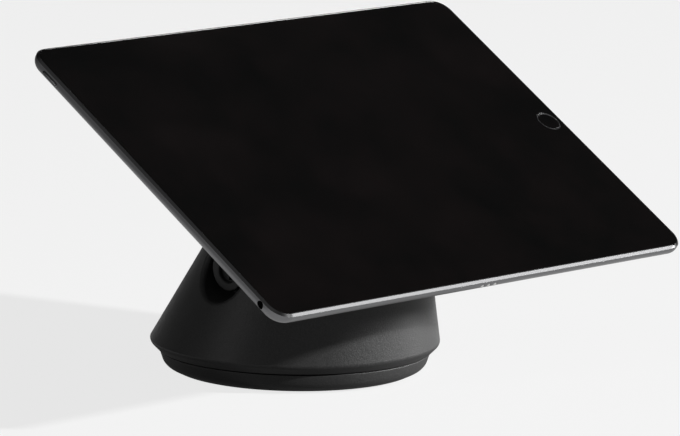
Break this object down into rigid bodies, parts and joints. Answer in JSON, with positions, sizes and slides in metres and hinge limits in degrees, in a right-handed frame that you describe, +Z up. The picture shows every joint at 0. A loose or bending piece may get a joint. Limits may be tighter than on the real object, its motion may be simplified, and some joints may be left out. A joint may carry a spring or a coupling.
{
  "type": "tablet holder",
  "caption": "Free-standing slanted tablet stand with a round weighted base, a recessed side knob that works a suction head, and a tablet held flat on top at a low tilt.",
  "frame": {"origin": "centre of the foot pad's underside, on the surface that the stand rests on", "axes": "+Z up, +X along the tablet's long edge towards its home button, -Y towards the user"},
  "size_m": [0.251, 0.1757, 0.1466],
  "materials": {
    "foot_rubber": "matt rubber with a fine grain",
    "plinth_plastic": "satin moulded plastic",
    "ballast_iron": "rough cast",
    "acetal": "smooth bearing plastic",
    "steel": "plain plated steel",
    "plate_steel": "black painted sheet steel",
    "shell_plastic": "fine grained charcoal plastic",
    "bush_brass": "turned brass",
    "neck_aluminium": "turned aluminium",
    "inner_plastic": "plain moulded plastic",
    "knob_plastic": "satin moulded plastic",
    "yoke_plastic": "smooth bearing plastic",
    "head_plastic": "satin moulded plastic",
    "cup_rubber": "smooth soft rubber",
    "case_metal": "bead blasted and anodised",
    "front_glass": "polished, black behind",
    "display": "screen, off",
    "ring_steel": "satin metal ring",
    "switch_steel": "pressed dome",
    "lens_black": "dark lens",
    "battery_foil": "wrapped cell",
    "board_green": "lacquered board",
    "socket_plastic": "plain moulded plastic",
    "contact_gold": "plated contacts",
    "button_glass": "gloss black",
    "key_metal": "anodised"
  },
  "bodies": {
    "plinth": {"foot_pad": "foot_rubber", "plinth": "plinth_plastic", "ballast": "ballast_iron", "glide_ring": "acetal", "pivot_bolt": "steel", "pivot_washer": "steel", "pivot_nut": "steel"},
    "stand": {"cone_shell": "shell_plastic", "floor_plate": "plate_steel", "floor_screws": "steel", "shaft_bracket": "plate_steel", "bracket_screws": "steel", "knob_bush": "bush_brass", "neck_plate": "neck_aluminium", "wear_ring": "acetal", "guide_housing": "inner_plastic", "neck_screws": "steel"},
    "knob": {"knob": "knob_plastic", "crank_shaft": "steel"},
    "yoke": {"yoke": "yoke_plastic"},
    "head": {"head_dish": "head_plastic", "head_nut": "neck_aluminium", "suction_cup": "cup_rubber"},
    "stem": {"stem": "steel"},
    "tablet": {"tablet_case": "case_metal", "front_glass": "front_glass", "display_panel": "display", "home_ring": "ring_steel", "home_switch": "switch_steel", "front_camera": "lens_black", "rear_camera": "lens_black", "battery": "battery_foil", "main_board": "board_green", "speakers": "inner_plastic", "audio_socket": "socket_plastic", "charge_socket": "socket_plastic", "contact_pins": "contact_gold"},
    "home_button": {"home_button": "button_glass"},
    "power_button": {"power_button": "key_metal"},
    "volume_up": {"volume_up": "key_metal"},
    "volume_down": {"volume_down": "key_metal"}
  },
  "joints": [
    {"name": "swivel", "type": "hinge", "parent": "plinth", "child": "stand", "pos_m": [0, 0, 0.012], "axis": [0, 0, 1], "continuous": true},
    {"name": "knob_turn", "type": "hinge", "parent": "stand", "child": "knob", "pos_m": [0, -0.0045, 0.0495], "axis": [-1, 0, 0], "range_deg": [0, 90]},
    {"name": "yoke_slide", "type": "slide", "parent": "stand", "child": "yoke", "axis": [0, -0.5299, 0.848], "range_m": [0, 0.0038]},
    {"name": "head_turn", "type": "hinge", "parent": "stand", "child": "head", "pos_m": [0, -0.0398, 0.101], "axis": [0, -0.5299, 0.848], "range_deg": [0, 90]},
    {"name": "cup_pull", "type": "slide", "parent": "head", "child": "stem", "axis": [0, -0.5299, 0.848], "range_m": [0, 0.0038], "deforming": ["suction_cup"]},
    {"name": "tablet_lift", "type": "slide", "parent": "head", "child": "tablet", "axis": [0, -0.5299, 0.848], "range_m": [0, 0.05]},
    {"name": "home_press", "type": "slide", "parent": "tablet", "child": "home_button", "axis": [0, 0.5299, -0.848], "range_m": [0, 0.0004], "stiffness_N_per_m": 800, "springref_m": -0.0005},
    {"name": "power_press", "type": "slide", "parent": "tablet", "child": "power_button", "axis": [1, 0, 0], "range_m": [0, 0.0003], "stiffness_N_per_m": 800, "springref_m": -0.0005},
    {"name": "volume_up_press", "type": "slide", "parent": "tablet", "child": "volume_up", "axis": [0, -0.848, -0.5299], "range_m": [0, 0.0003], "stiffness_N_per_m": 800, "springref_m": -0.0005},
    {"name": "volume_down_press", "type": "slide", "parent": "tablet", "child": "volume_down", "axis": [0, -0.848, -0.5299], "range_m": [0, 0.0003], "stiffness_N_per_m": 800, "springref_m": -0.0005}
  ],
  "couplings": [
    {"joint": "yoke_slide", "follows": "knob_turn", "m_per_rad": 0.0023408},
    {"joint": "cup_pull", "follows": "knob_turn", "m_per_rad": 0.0023408}
  ]
}
